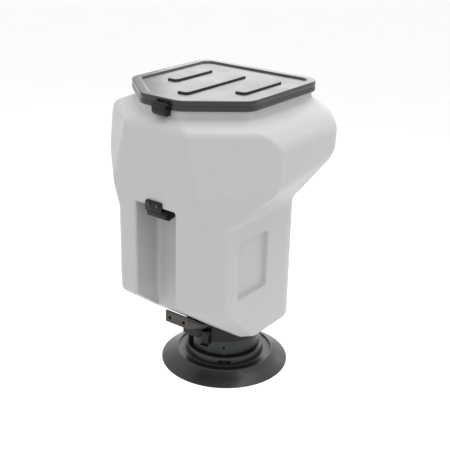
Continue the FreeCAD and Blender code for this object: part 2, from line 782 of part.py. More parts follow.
def agitator():
    """Cross rods through a collar, above the auger."""
    low, high = agitator_z
    parts = [ring(shaft_r + 8, shaft_r, low - 10, high + 10)]
    for i, z in enumerate((low, high)):
        cross = cross_rod(agitator_rod_r, -agitator_r, agitator_r, 0, z)
        parts.append(turned(cross, 90 * i).cut(rod(shaft_r, z - 20, z + 20)))
    return fuse(parts)


def clamp_bracket(angle):
    """Two cheeks on a pad on the collar, with the pin that the lever turns on."""
    far = clamp_half_width + side_gap + clamp_cheek
    z0, z1 = clamp_pivot_z - clamp_cheek_half_height, clamp_pivot_z + clamp_cheek_half_height
    parts = [box(collar_r - 3, collar_r + 1.5, -far, far, z0, z1)]
    for side in (-1, 1):
        y0, y1 = sorted((side * (far - clamp_cheek), side * far))
        parts.append(box(collar_r - 3, clamp_r + 5, y0, y1, z0, z1))
    parts.append(Part.makeCylinder(clamp_pivot_r, 2 * far, V(clamp_r, -far, clamp_pivot_z), V(0, 1, 0)))
    body = fuse(parts).cut(rod(collar_r, z0 - 1, z1 + 1))
    return turned(body, angle)


def clamp_lever(angle):
    """Lever that folds down over the drum's rim band, with a finger turned out at its foot."""
    half = clamp_half_width
    inner, outer = clamp_r - clamp_plate / 2, clamp_r + clamp_plate / 2
    eye = Part.makeCylinder(clamp_pivot_r + 3, 2 * half, V(clamp_r, -half, clamp_pivot_z), V(0, 1, 0))
    blade = box(inner, outer, -half, half, clamp_bottom_z, clamp_pivot_z)
    finger = box(inner, clamp_r + 10, -half, half, clamp_bottom_z - 3, clamp_bottom_z + 1)
    body = fuse([eye, blade, finger])
    body = body.cut(Part.makeCylinder(clamp_pivot_r + running_gap, 2 * half + 2,
                                      V(clamp_r, -half - 1, clamp_pivot_z), V(0, 1, 0)))
    return turned(body, angle)


def clamp_keepers():
    """Blocks on the drum that the levers close against."""
    z0, z1 = clamp_bottom_z - 6, clamp_bottom_z + 8
    face = clamp_r - clamp_plate / 2 - gasket_gap
    keepers = []
    for angle in clamp_angles:
        block = box(drum_r - 2, face, -keeper_half_width, keeper_half_width, z0, z1)
        keepers.append(turned(block.cut(rod(drum_r, z0 - 1, z1 + 1)), angle))
    return Part.makeCompound(keepers)


def cable_duct():
    """Channel on the drum's outside that covers the motor's lead."""
    body = box(drum_r - 3, drum_r + duct_depth, -duct_half_width, duct_half_width, duct_z[0], duct_z[1])
    return turned(body.cut(rod(drum_r, duct_z[0] - 1, duct_z[1] + 1)), duct_angle)


def cable_gland():
    """Gland on the collar that the motor's lead goes in by."""
    flange = Part.makeCylinder(gland_r, gland_length - 8, V(collar_r + 1, 0, gland_z), V(1, 0, 0))
    neck = Part.makeCylinder(gland_r - 2.5, gland_length, V(collar_r - 2, 0, gland_z), V(1, 0, 0))
    bore = Part.makeCylinder(gland_bore_r, gland_length + 4, V(collar_r + 2, 0, gland_z), V(1, 0, 0))
    body = fuse([flange, neck]).cut(bore).cut(rod(collar_r, gland_z - 30, gland_z + 30))
    return turned(body, duct_angle)


def save(name, shape):
    moved = shape.copy()
    moved.translate(mount_offset)
    moved.exportStep(os.path.join("parts", name + ".step"))
    print(name, round(moved.Volume / 1000.0, 1), moved.isValid(), len(moved.Solids))


os.makedirs("parts", exist_ok=True)
save("hopper_shell", hopper_shell())
save("lid_panel", lid_panel())
save("lid_gasket", lid_gasket())
save("lid_hinge_bracket", lid_hinge_bracket())
save("lid_hinge_pin", lid_hinge_pin())
save("latch_pin", latch_pin())
save("latch_strap", latch_strap_piece())
save("latch_catch", latch_catch())
save("mounting_plate", mounting_plate())
save("plate_bolts", plate_bolts())
save("post_hanger", post_hanger())
save("hanger_screws", hanger_screws())
save("gate_slide", gate_slide())
save("gate_handle", gate_handle())
save("gate_guides", gate_guides())
save("feed_collar", feed_collar())
save("drum", drum())
save("spread_guard", spread_guard())
save("guard_screws", guard_screws())
save("motor_spider", motor_spider())
save("motor", motor())
save("gearbox", gearbox())
save("shaft_bushes", shaft_bushes())
save("shaft_seal", shaft_seal())
save("drive_shaft", drive_shaft())
save("spinner_disc", spinner_disc())
save("spinner_hub", spinner_hub())
save("spinner_nut", spinner_nut())
save("auger_tube", auger_tube())
save("auger_flight", auger_flight_piece())
save("agitator", agitator())
save("clamp_bracket_front", clamp_bracket(clamp_angles[0]))
save("clamp_bracket_back", clamp_bracket(clamp_angles[1]))
save("clamp_lever_front", clamp_lever(clamp_angles[0]))
save("clamp_lever_back", clamp_lever(clamp_angles[1]))
save("clamp_keepers", clamp_keepers())
save("cable_duct", cable_duct())
save("cable_gland", cable_gland())
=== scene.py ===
import json
import math

import bmesh
import bpy
from mathutils import Matrix, Vector


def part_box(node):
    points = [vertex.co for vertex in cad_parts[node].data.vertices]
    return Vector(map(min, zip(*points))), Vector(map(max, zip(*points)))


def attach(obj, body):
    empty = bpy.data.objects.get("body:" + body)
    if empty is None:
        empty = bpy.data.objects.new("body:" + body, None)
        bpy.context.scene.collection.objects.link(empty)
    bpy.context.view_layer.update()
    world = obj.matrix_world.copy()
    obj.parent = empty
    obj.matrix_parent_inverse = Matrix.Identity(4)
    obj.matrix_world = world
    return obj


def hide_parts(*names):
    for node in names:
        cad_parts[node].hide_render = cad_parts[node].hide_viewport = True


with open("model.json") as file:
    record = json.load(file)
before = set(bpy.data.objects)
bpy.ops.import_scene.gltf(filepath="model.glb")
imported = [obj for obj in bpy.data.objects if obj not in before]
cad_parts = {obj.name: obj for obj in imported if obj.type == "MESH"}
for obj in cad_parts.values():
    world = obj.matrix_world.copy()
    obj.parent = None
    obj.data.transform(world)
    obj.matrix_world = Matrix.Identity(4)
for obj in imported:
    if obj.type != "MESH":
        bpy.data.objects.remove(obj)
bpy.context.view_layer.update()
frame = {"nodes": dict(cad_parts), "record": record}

# Tailgate salt spreader. Shapes are drawn in millimetres about the spinner's axis, with z = 0
# at the rim of the spread guard, and put_in_place() turns them to metres in the shared frame.

guard_low, guard_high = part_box("spread_guard")
axis_at = Vector(((guard_low.x + guard_high.x) / 2, (guard_low.y + guard_high.y) / 2, guard_low.z))
MM = 0.001


# ---------------------------------------------------------------- materials

def linear(hex_colour):
    """Linear RGBA of an sRGB hex colour such as "F2F1EE"."""
    channels = [int(hex_colour[i:i + 2], 16) / 255 for i in (0, 2, 4)]
    return [c / 12.92 if c <= 0.04045 else ((c + 0.055) / 1.055) ** 2.4 for c in channels] + [1.0]


def add(tree, kind, inputs=None, links=None, **properties):
    """Adds a node, sets its properties and input sockets, and links {socket: output} into it."""
    made = tree.nodes.new(kind)
    for name, value in properties.items():
        setattr(made, name, value)
    for name, value in (inputs or {}).items():
        made.inputs[name].default_value = value
    for name, output in (links or {}).items():
        tree.links.new(output, made.inputs[name])
    return made


def per_metre(size_mm):
    """Texture scale that gives features of a size in millimetres."""
    return 1000.0 / size_mm


def new_material(name):
    material = bpy.data.materials.new(name)
    material.use_nodes = True
    tree = material.node_tree
    tree.nodes.clear()
    shader = add(tree, "ShaderNodeBsdfPrincipled")
    add(tree, "ShaderNodeOutputMaterial", links={"Surface": shader.outputs["BSDF"]})
    place = add(tree, "ShaderNodeTexCoord").outputs["Object"]
    return material, tree, shader, place


def moulded(name, dark, light, roughness, grain_mm, grain_depth_mm, mottle_mm, ior, coat=0.0,
            specular=0.5):
    """A moulded polymer: a slow mottle in colour and gloss, and the mould's fine grain as relief."""
    material, tree, shader, place = new_material(name)
    mottle = add(tree, "ShaderNodeTexNoise", {"Scale": per_metre(mottle_mm), "Detail": 3.0},
                 {"Vector": place})
    colour = add(tree, "ShaderNodeMix", {"A": linear(dark), "B": linear(light)},
                 {"Factor": mottle.outputs["Fac"]}, data_type="RGBA")
    grain = add(tree, "ShaderNodeTexNoise", {"Scale": per_metre(grain_mm), "Detail": 2.0},
                {"Vector": place})
    relief = add(tree, "ShaderNodeBump", {"Strength": 0.5, "Distance": grain_depth_mm * MM},
                 {"Height": grain.outputs["Fac"]})
    gloss = add(tree, "ShaderNodeMapRange", {"From Min": 0.3, "From Max": 0.7, "To Min": roughness[0],
                                             "To Max": roughness[1]}, {"Value": mottle.outputs["Fac"]})
    shader.inputs["IOR"].default_value = ior
    shader.inputs["Specular IOR Level"].default_value = specular
    shader.inputs["Coat Weight"].default_value = coat
    shader.inputs["Coat Roughness"].default_value = 0.08
    tree.links.new(colour.outputs["Result"], shader.inputs["Base Color"])
    tree.links.new(gloss.outputs["Result"], shader.inputs["Roughness"])
    tree.links.new(relief.outputs["Normal"], shader.inputs["Normal"])
    return material


def worked_metal(name, dark, light, roughness, grain_mm, grain_depth_mm):
    """A bare metal: lines or grit left by how it was worked, in tone, gloss and relief.

    grain_mm is the size of a mark along X, Y and Z.
    """
    material, tree, shader, place = new_material(name)
    stretched = add(tree, "ShaderNodeMapping", {"Scale": [per_metre(g) for g in grain_mm]},
                    {"Vector": place})
    marks = add(tree, "ShaderNodeTexNoise", {"Scale": 1.0, "Detail": 4.0, "Roughness": 0.6},
                {"Vector": stretched.outputs["Vector"]})
    clouds = add(tree, "ShaderNodeTexNoise", {"Scale": per_metre(40.0), "Detail": 2.0}, {"Vector": place})
    both = add(tree, "ShaderNodeMix", {"Factor": 0.35}, {"A": marks.outputs["Fac"],
                                                         "B": clouds.outputs["Fac"]})
    colour = add(tree, "ShaderNodeMix", {"A": linear(dark), "B": linear(light)},
                 {"Factor": both.outputs["Result"]}, data_type="RGBA")
    relief = add(tree, "ShaderNodeBump", {"Strength": 0.35, "Distance": grain_depth_mm * MM},
                 {"Height": marks.outputs["Fac"]})
    gloss = add(tree, "ShaderNodeMapRange", {"From Min": 0.3, "From Max": 0.7, "To Min": roughness[0],
                                             "To Max": roughness[1]}, {"Value": both.outputs["Result"]})
    shader.inputs["Metallic"].default_value = 1.0
    tree.links.new(colour.outputs["Result"], shader.inputs["Base Color"])
    tree.links.new(gloss.outputs["Result"], shader.inputs["Roughness"])
    tree.links.new(relief.outputs["Normal"], shader.inputs["Normal"])
    return material


# Rotomoulded linear low-density polyethylene: milky white, satin, with a soft orange-peel skin
# and gloss that drifts over a hand's width where the powder melted unevenly.
white_polyethylene = moulded("rotomoulded_white_polyethylene", "B0B1B2", "B8B9BA", (0.36, 0.46),
                             2.6, 0.10, 120.0, 1.51)
white_polyethylene.node_tree.nodes["Principled BSDF"].inputs["Subsurface Weight"].default_value = 0.12
white_polyethylene.node_tree.nodes["Principled BSDF"].inputs["Subsurface Radius"].default_value = (
    0.006, 0.006, 0.005)
# Moulded high-density polyethylene lid: charcoal, satin enough to mirror the sky as pale grey.
lid_polyethylene = moulded("moulded_charcoal_polyethylene", "191A1C", "202123", (0.20, 0.28),
                           1.8, 0.04, 70.0, 1.53, 0.1)
# Injection-moulded glass-filled nylon: near black, with the fine spark-eroded grain of its tool.
black_nylon = moulded("moulded_black_nylon", "0F0F10", "161617", (0.36, 0.5), 1.2, 0.05, 30.0, 1.53,
                      specular=0.3)
# Injection-moulded ABS spread guard: black and glossy, with faint ripples in its reflections.
guard_abs = moulded("moulded_black_abs", "101011", "18181A", (0.30, 0.40), 6.0, 0.03, 60.0, 1.54, 0.1)
# Compression-moulded polyurethane spinner: black and dull, scuffed by salt.
spinner_urethane = moulded("moulded_black_polyurethane", "1A1A1A", "2E2D2C", (0.45, 0.7), 2.0, 0.08,
                           18.0, 1.50)
# Powder-coated steel: black polyester paint with a shallow orange peel.
powder_coat = moulded("black_powder_coated_steel", "0D0D0E", "141415", (0.34, 0.46), 1.6, 0.05,
                      50.0, 1.50, specular=0.3)
# Black-oxide screws: steel turned brown-black and oiled.
black_oxide = moulded("black_oxide_steel", "131210", "22201D", (0.28, 0.42), 1.0, 0.03, 8.0, 1.6, 0.3)
# EPDM rubber strap: moulded, charcoal, dry and dull.
epdm_rubber = moulded("moulded_epdm_rubber", "151515", "202020", (0.62, 0.8), 1.0, 0.05, 15.0, 1.52)
# Closed-cell foam rubber gasket: matt black, pitted where cells were cut open.
foam_rubber = moulded("closed_cell_foam_rubber", "121212", "2A2A2A", (0.8, 0.95), 1.4, 0.35, 6.0, 1.50)
# Rolled 304 stainless sheet for the drum: grain runs round it, so it streaks light up and down.
# The real lines are about 0.1 mm apart; 1.5 mm ones are drawn so that they show.
drum_steel = worked_metal("rolled_stainless_sheet", "303234", "464849", (0.24, 0.34),
                          (60.0, 60.0, 1.5), 0.02)
# Brushed stainless plate: straight brush lines across the plate, drawn 2 mm apart so they show. Its dark
# brownish-grey tone is partly painted shade, standing for the shade under the hopper; the brush lines are
# the plate's own.
shade_darkened_plate_steel = worked_metal("brushed_stainless_plate_painted_shade", "454340", "5E5B57", (0.30, 0.44),
                           (80.0, 2.0, 2.0), 0.02)
# Turned stainless shaft: fine rings round it, drawn 0.8 mm apart.
shaft_steel = worked_metal("turned_stainless_bar", "A6A7A8", "BEBFC0", (0.18, 0.30),
                           (20.0, 20.0, 0.8), 0.02)
# Zinc-plated fasteners: bluish bright steel with a faint cloudy bloom.
zinc_plate = worked_metal("zinc_plated_steel", "A4A8AC", "C0C4C8", (0.25, 0.40), (4.0, 4.0, 4.0), 0.01)
# Die-cast aluminium, bead blasted: pale grey, evenly gritty.
cast_aluminium = worked_metal("die_cast_aluminium", "8E8F90", "A5A6A7", (0.45, 0.6), (0.9, 0.9, 0.9),
                              0.05)
# Sintered bronze bushes: brown-gold, oil-soaked and porous.
sintered_bronze = worked_metal("sintered_bronze", "8C6A3C", "A9834E", (0.38, 0.55), (0.7, 0.7, 0.7), 0.04)

finish_of_slot = {
    "white_polyethylene": white_polyethylene, "lid_polyethylene": lid_polyethylene,
    "black_moulding": black_nylon, "guard_moulding": guard_abs, "spinner_moulding": spinner_urethane,
    "grey_drum": drum_steel, "stainless_plate": shade_darkened_plate_steel, "stainless_shaft": shaft_steel,
    "zinc_steel": zinc_plate, "black_oxide": black_oxide, "black_powder_coat": powder_coat,
    "cast_aluminium": cast_aluminium, "bronze": sintered_bronze, "rubber_seal": foam_rubber,
    "rubber_strap": epdm_rubber}
slot_of_node = {row["node"]: row["material_slot"] for row in frame["record"]["subparts"]}
body_of_node = {node: body for body, nodes in frame["record"]["behaviour"]["bodies"].items()
                for node in nodes}
for node_name, node_object in frame["nodes"].items():
    node_object.data.materials.clear()
    node_object.data.materials.append(finish_of_slot[slot_of_node[node_name]])


# ---------------------------------------------------------------- shared modelling steps

turn_steps = 144              # sides of a turned shape
corner_steps = 8              # edges round each corner of an outline
merge_mm = 0.001              # points nearer than this are one


def put_in_place(bm):
    """Millimetres about the spinner's axis to metres in the shared frame."""
    bmesh.ops.transform(bm, matrix=Matrix.Translation(axis_at) @ Matrix.Scale(MM, 4), verts=bm.verts)


def make_piece(name, bm, body, slot, replaced=(), sharp_from=32.0):
    """Turns a finished bmesh, already in place, into a piece that rides a body."""
    for face in bm.faces:
        face.smooth = True
    for edge in bm.edges:
        if len(edge.link_faces) == 2 and edge.calc_face_angle() > math.radians(sharp_from):
            edge.smooth = False
    mesh = bpy.data.meshes.new(name)
    bm.to_mesh(mesh)
    bm.free()
    mesh.materials.append(finish_of_slot[slot])
    made = bpy.data.objects.new(name, mesh)
    bpy.context.scene.collection.objects.link(made)
    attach(made, body)
    if replaced:
        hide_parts(*replaced)
    return made


def spin_profile(bm, points):
    """Turns a closed outline of (radius, z) points a full turn about the spinner's axis."""
    verts = [bm.verts.new((r, 0, z)) for r, z in points]
    edges = [bm.edges.new(pair) for pair in zip(verts, verts[1:] + verts[:1])]
    bmesh.ops.spin(bm, geom=verts + edges, cent=(0, 0, 0), axis=(0, 0, 1), angle=2 * math.pi,
                   steps=turn_steps, use_merge=True)
    bmesh.ops.remove_doubles(bm, verts=bm.verts, dist=merge_mm)
    bmesh.ops.recalc_face_normals(bm, faces=bm.faces)


def bevel(bm, edges, width, segments=3):
    bmesh.ops.bevel(bm, geom=edges, offset=width, offset_type="OFFSET", segments=segments, profile=0.5,
                    affect="EDGES", material=-1, clamp_overlap=True)


def sharp_edges(bm, degrees):
    return [e for e in bm.edges if len(e.link_faces) == 2 and e.calc_face_angle() > math.radians(degrees)]


def block(bm, low, high):
    """Box between two corners."""
    size = [b - a for a, b in zip(low, high)]
    middle = [(a + b) / 2 for a, b in zip(low, high)]
    matrix = Matrix.Translation(middle) @ Matrix.Diagonal(size + [1.0])
    bmesh.ops.create_cube(bm, size=1.0, matrix=matrix)


def bar(bm, radius, start, end):
    """Round bar between two points."""
    start, end = Vector(start), Vector(end)
    turn = (end - start).to_track_quat("Z", "Y").to_matrix().to_4x4()
    matrix = Matrix.Translation((start + end) / 2) @ turn
    bmesh.ops.create_cone(bm, cap_ends=True, segments=32, radius1=radius, radius2=radius,
                          depth=(end - start).length, matrix=matrix)


def carve(made, cutters):
    """Cuts a closed shape, drawn like any other in millimetres, out of a piece for good."""
    mesh = bpy.data.meshes.new("cutter")
    put_in_place(cutters)
    cutters.to_mesh(mesh)
    cutters.free()
    tool = bpy.data.objects.new("cutter", mesh)
    bpy.context.scene.collection.objects.link(tool)
    boolean = made.modifiers.new("cut", "BOOLEAN")
    boolean.operation = "DIFFERENCE"
    boolean.solver = "EXACT"
    boolean.object = tool
    bpy.context.view_layer.update()
    cut = bpy.data.meshes.new_from_object(made.evaluated_get(bpy.context.evaluated_depsgraph_get()))
    made.modifiers.remove(boolean)
    made.data = cut
    bpy.data.objects.remove(tool)


def soften(node, width_mm):
    """A copy of a CAD node with its edges broken, as moulding, casting and deburring leave them."""
    source = frame["nodes"][node]
    bm = bmesh.new()
    bm.from_mesh(source.data)
    bm.transform(source.matrix_world)
    bmesh.ops.remove_doubles(bm, verts=bm.verts, dist=0.01 * MM)
    bmesh.ops.dissolve_limit(bm, angle_limit=math.radians(0.5), verts=bm.verts, edges=bm.edges)
    bevel(bm, sharp_edges(bm, 30), width_mm * MM, 2)
    make_piece(node + "_finished", bm, body_of_node[node], slot_of_node[node], [node])


def corners(half_width, front_y, front_half, corner_y, back_y):
    """The six corners of a level outline: truck edge, two corner facets, sides, back edge."""
    return [Vector((-front_half, front_y)), Vector((front_half, front_y)), Vector((half_width, corner_y)),
            Vector((half_width, back_y)), Vector((-half_width, back_y)), Vector((-half_width, corner_y))]


def inset(points, distance):
    """Every side of a counter-clockwise outline moved inwards by the same distance."""
    moved = []
    for i, point in enumerate(points):
        before = (point - points[i - 1]).normalized()
        after = (points[(i + 1) % len(points)] - point).normalized()
        inward = Vector((-before.y, before.x)) + Vector((-after.y, after.x))
        moved.append(point + inward * (distance / (1 + before.dot(after))))
    return moved


def corner_arc(points, i, radius):
    """Points along the arc that rounds corner i of an outline."""
    point = points[i]
    before = (points[i - 1] - point).normalized()
    after = (points[(i + 1) % len(points)] - point).normalized()
    half_turn = (math.pi - before.angle(after)) / 2
    centre = point + (before + after).normalized() * (radius / math.cos(half_turn))
    start = point + before * radius * math.tan(half_turn) - centre
    turns = [2 * half_turn * k / corner_steps for k in range(corner_steps + 1)]
    return [centre + Matrix.Rotation(turn, 2) @ start for turn in turns]


def rounded(points, front_r, back_r):
    """The whole outline with its corners rounded; the fourth and fifth are the back ones."""
    path = []
    for i in range(len(points)):
        path += corner_arc(points, i, back_r if i in (3, 4) else front_r)
    return path


def first_ring(bm, places):
    """A closed ring of edges through the places, in order."""
    verts = [bm.verts.new(p) for p in places]
    return [bm.edges.new(pair) for pair in zip(verts, verts[1:] + verts[:1])]


def next_ring(bm, ring, places):
    """Extrudes a ring of edges and moves the new one to its places, in the same order."""
    order = ring_verts(ring)
    made = bmesh.ops.extrude_edge_only(bm, edges=ring)["geom"]
    new_edges = [g for g in made if isinstance(g, bmesh.types.BMEdge)]
    new_verts = {g for g in made if isinstance(g, bmesh.types.BMVert)}
    partner = {}
    for vert in new_verts:
        for edge in vert.link_edges:
            other = edge.other_vert(vert)
            if other not in new_verts:
                partner[other] = vert
    for vert, place in zip(order, places):
        partner[vert].co = place
    by_pair = {frozenset(e.verts): e for e in new_edges}
    following = [partner[v] for v in order]
    return [by_pair[frozenset(pair)] for pair in zip(following, following[1:] + following[:1])]


def ring_verts(ring):
    """The first vertex of each edge of a ring, in order round it."""
    order = []
    for edge, after in zip(ring, ring[1:] + ring[:1]):
        shared = set(edge.verts) & set(after.verts)
        order.append(edge.other_vert(shared.pop()))
    return order


# ---------------------------------------------------------------- hopper

hopper_wall = 5.0
truck_y, channel_back_y = -335.0, -240.0
channel_half, channel_draft, mouth_r, channel_r = 70.0, 1.5, 9.0, 14.0
panel_y, panel_z = (-209.0, -67.0), (337.0, 513.0)
panel_depth, panel_corner_r, panel_run = 13.0, 14.0, 8.0
panel_steps = (0.0, 1.3, 2.7, 4.0, 5.3, 6.7, 8.0, 13.0)
panel_edge = 12.0             # truck face kept flat beside the channel's mouth
floor_z, slope_top_z, toe_y = 183.0, 325.0, -140.0
crease_z, ceiling_low, ceiling_high, belly_z = 572.0, 601.0, 611.0, 655.0
side_top_z, shoulder_z, neck_z, neck_top_z = 796.0, 836.0, 862.0, 896.0
front_r, back_r = 24.0, 90.0
neck_front_r, neck_back_r = 22.0, 42.0
slope_per_mm = (slope_top_z - floor_z) / (toe_y - truck_y)
belly_tilt = math.radians(8.5)
outlet_r = 98.0

lower_body = corners(195, truck_y, 125, -265, 115)
belly = corners(300, truck_y, 152, -188, 165)
side_top = corners(300, truck_y, 112, -177, 165)
shoulder = corners(262, truck_y, 104, -207, 159)
lid_outline = corners(211.5, -314, 64, -189, 152)
neck = inset(lid_outline, 10)
lower_side = (corner_arc(lower_body, 2, front_r)[-1].y, corner_arc(lower_body, 3, back_r)[0].y)


def sloped_floor(z):
    front = toe_y - (z - floor_z) / slope_per_mm
    low = corners(195, toe_y, 167, toe_y + 28, 115)
    share = (z - floor_z) / (slope_top_z - floor_z)
    points = [a.lerp(b, share) for a, b in zip(low, lower_body)]
    return [Vector((p.x, front)) if i < 2 else p for i, p in enumerate(points)]


def channel_path(depth, squeeze):
    """Points across the truck face from left to right, dipping into the post channel."""
    full = channel_back_y - truck_y
    steps = 5
    right = []
    for k in range(steps + 1):
        a = math.pi / 2 * k / steps
        right.append((channel_half - channel_draft - channel_r * (1 - math.sin(a)),
                      full - channel_r * (1 - math.cos(a))))
    for k in range(steps + 1):
        a = math.pi / 2 * k / steps
        right.append((channel_half + mouth_r * (1 - math.cos(a)), mouth_r * (1 - math.sin(a))))
    right = [(x * squeeze, y * depth / full) for x, y in right]
    return [(-x, y) for x, y in reversed(right)] + right


def panel_dip(y, z):
    """Depth of the shallow stiffening panel in a side face: a rounded rectangle with soft walls."""
    half_y, half_z = (panel_y[1] - panel_y[0]) / 2, (panel_z[1] - panel_z[0]) / 2
    past_y = abs(y - sum(panel_y) / 2) - half_y + panel_corner_r
    past_z = abs(z - sum(panel_z) / 2) - half_z + panel_corner_r
    within = panel_corner_r - math.hypot(max(past_y, 0), max(past_z, 0)) - min(max(past_y, past_z), 0)
    share = min(max(within / panel_run, 0), 1)
    return panel_depth * share * share * (3 - 2 * share)


def both_edges(low, high):
    """Places of the panel steps inwards from both ends of a range."""
    return [low + s for s in panel_steps] + [high - s for s in reversed(panel_steps)]


def hopper_ring(z, outline, near_r, far_r, tilt, depth):
    """Places of one level ring of the hopper's skin, with its channel and side panels."""
    arcs = [corner_arc(outline, i, far_r if i in (3, 4) else near_r) for i in range(6)]
    squeeze = min(1.0, arcs[1][0].x / (channel_half + mouth_r + panel_edge))
    front = [Vector((x, outline[0].y + y)) for x, y in channel_path(depth, squeeze)]
    side_low, side_high = arcs[2][-1].y, arcs[3][0].y
    panel_low, panel_high = lower_side
    sides = []
    for y in both_edges(*panel_y):
        share = (y - panel_low) / (panel_high - panel_low)
        dip = panel_dip(y, z) if panel_z[0] <= z <= panel_z[1] else 0.0
        sides.append(Vector((outline[2].x - dip, side_low + share * (side_high - side_low))))
    left = [Vector((-p.x, p.y)) for p in reversed(sides)]
    path = arcs[0] + front + arcs[1] + arcs[2] + sides + arcs[3] + arcs[4] + left + arcs[5]
    return [Vector((p.x, truck_y + (p.y - truck_y) * math.cos(tilt),
                    z + (p.y - truck_y) * math.sin(tilt))) for p in path]


def build_hopper():
    channel_full = channel_back_y - truck_y
    back_wall_foot = floor_z + (toe_y - channel_back_y) * slope_per_mm

    def between(z):
        """Outline between the crease and the belly, and its share of the belly's tilt."""
        share = (z - crease_z) / (belly_z - crease_z)
        return [a.lerp(b, share) for a, b in zip(lower_body, belly)], belly_tilt * share

    # (z, outline, front r, back r, tilt, channel depth, edge radius, radius within the channel only)
    rows = [(floor_z, sloped_floor(floor_z), 14, 88, 0, 0, 14, 14),
            (back_wall_foot, sloped_floor(back_wall_foot), 19, back_r, 0, 0, 0, 5),
            (slope_top_z, lower_body, front_r, back_r, 0, channel_full, 11, 0)]
    rows += [(z, lower_body, front_r, back_r, 0, channel_full, 0, 0) for z in both_edges(*panel_z)]
    rows += [(crease_z, lower_body, front_r, back_r, 0, channel_full, 16, 0)]
    for z, depth in ((ceiling_low, channel_full), (ceiling_high, 0)):
        outline, tilt = between(z)
        rows.append((z, outline, front_r, back_r, tilt, depth, 0, 4))
    rows += [(belly_z, belly, front_r, back_r, belly_tilt, 0, 18, 18),
             (side_top_z, side_top, front_r, back_r, 0, 0, 18, 18),
             (shoulder_z, shoulder, front_r, 70, 0, 0, 16, 16),
             (neck_z, neck, neck_front_r, neck_back_r, 0, 0, 7, 7),
             (neck_top_z, neck, neck_front_r, neck_back_r, 0, 0, 0, 0)]

    bm = bmesh.new()
    weights = bm.edges.layers.float.new("bevel_weight_edge")
    widest = max(row[6] for row in rows)
    in_channel = range(corner_steps + 1, corner_steps + 1 + len(channel_path(0, 1)))
    ring = None
    for *shape, radius, channel_radius in rows:
        places = hopper_ring(*shape)
        if ring is None:
            ring = first_ring(bm, places)
            foot = ring
        else:
            ring = next_ring(bm, ring, places)
        for i, edge in enumerate(ring):
            edge[weights] = (channel_radius if i in in_channel else radius) / widest
    hole = [Vector((v.co.x, v.co.y, 0)).normalized() * outlet_r + Vector((0, 0, floor_z))
            for v in ring_verts(foot)]
    next_ring(bm, foot, hole)
    bmesh.ops.recalc_face_normals(bm, faces=bm.faces)
    put_in_place(bm)
    made = make_piece("hopper_body", bm, "hopper", "white_polyethylene", ["hopper_shell"], 180)
    rounding = made.modifiers.new("rounded_creases", "BEVEL")
    rounding.limit_method = "WEIGHT"
    rounding.width = widest * MM
    rounding.segments = 5
    skin = made.modifiers.new("wall", "SOLIDIFY")
    skin.thickness = hopper_wall * MM
    skin.offset = -1
    made.modifiers.new("even_shading", "WEIGHTED_NORMAL")


build_hopper()


# ---------------------------------------------------------------- lid

lid_top, lid_foot = 910.0, 882.0
lid_front_r, lid_back_r, lid_wall = 45.0, 52.0, 3.0
rib_height, rib_width, rib_cap = 5.0, 9.0, 22.0
rib_places = ((-95, -135, 30), (21, -232, 35), (137, -130, 45))     # middle x, truck end, back end


def build_lid():
    """Skirt in two bands, rounded rim, and a sunk panel."""
    step, rim = 2.4, 26.0
    profile = [(0.6, lid_foot), (0, lid_foot + 0.6), (0, 892.6), (step, 893.8), (step, 896.4), (0, 896.8)]
    profile += [(4 - 4 * math.cos(a), lid_top - 4 + 4 * math.sin(a))
                for a in (math.radians(15 * k) for k in range(7))]
    profile += [(rim - 5 + 5 * math.sin(a), lid_top - 2.5 + 2.5 * math.cos(a))
                for a in (math.radians(18 * k) for k in range(6))]
    profile += [(rim + 4 - 4 * math.cos(a), lid_top - 2.5 - 2.5 * math.sin(a))
                for a in (math.radians(18 * k) for k in range(1, 6))]
    bm = bmesh.new()
    ring = None
    for distance, z in profile:
        outline = rounded(inset(lid_outline, distance), max(lid_front_r - distance, 19),
                          max(lid_back_r - distance, 9))
        places = [Vector((p.x, p.y, z)) for p in outline]
        ring = first_ring(bm, places) if ring is None else next_ring(bm, ring, places)
    bmesh.ops.contextual_create(bm, geom=ring)
    bmesh.ops.recalc_face_normals(bm, faces=bm.faces)
    put_in_place(bm)
    made = make_piece("lid_cover", bm, "lid", "lid_polyethylene", ["lid_panel"], 40)
    skin = made.modifiers.new("wall", "SOLIDIFY")
    skin.thickness = lid_wall * MM
    skin.offset = -1
    made.modifiers.new("even_shading", "WEIGHTED_NORMAL")


def build_ribs():
    """Three raised ribs, each with its truck-side end turned across on a curve."""
    bm = bmesh.new()
    foot = lid_top - 6
    for x, y0, y1 in rib_places:
        outer, inner = x + rib_width / 2, x - rib_width / 2
        turn_r = 14.0
        path = [(inner - rib_cap, y0), (outer - turn_r, y0)]
        path += [(outer - turn_r + turn_r * math.sin(a), y0 + turn_r - turn_r * math.cos(a))
                 for a in (math.radians(15 * k) for k in range(1, 7))]
        path += [(outer, y1), (inner, y1)]
        near_r = turn_r - rib_width
        path += [(inner - near_r + near_r * math.cos(a), y0 + rib_width + near_r - near_r * math.sin(a))
                 for a in (math.radians(22.5 * k) for k in range(5))]
        path += [(inner - rib_cap, y0 + rib_width)]
        face = bm.faces.new([bm.verts.new((px, py, foot)) for px, py in path])
        raised = bmesh.ops.extrude_face_region(bm, geom=[face])["geom"]
        top = [g for g in raised if isinstance(g, bmesh.types.BMVert)]
        bmesh.ops.translate(bm, verts=top, vec=(0, 0, rib_height + 1))
        rim = [e for e in bm.edges if all(v in top for v in e.verts)]
        bevel(bm, rim, 1.6, 3)
    bmesh.ops.remove_doubles(bm, verts=bm.verts, dist=merge_mm)
    bmesh.ops.recalc_face_normals(bm, faces=bm.faces)
    put_in_place(bm)
    make_piece("lid_ribs", bm, "lid", "lid_polyethylene")


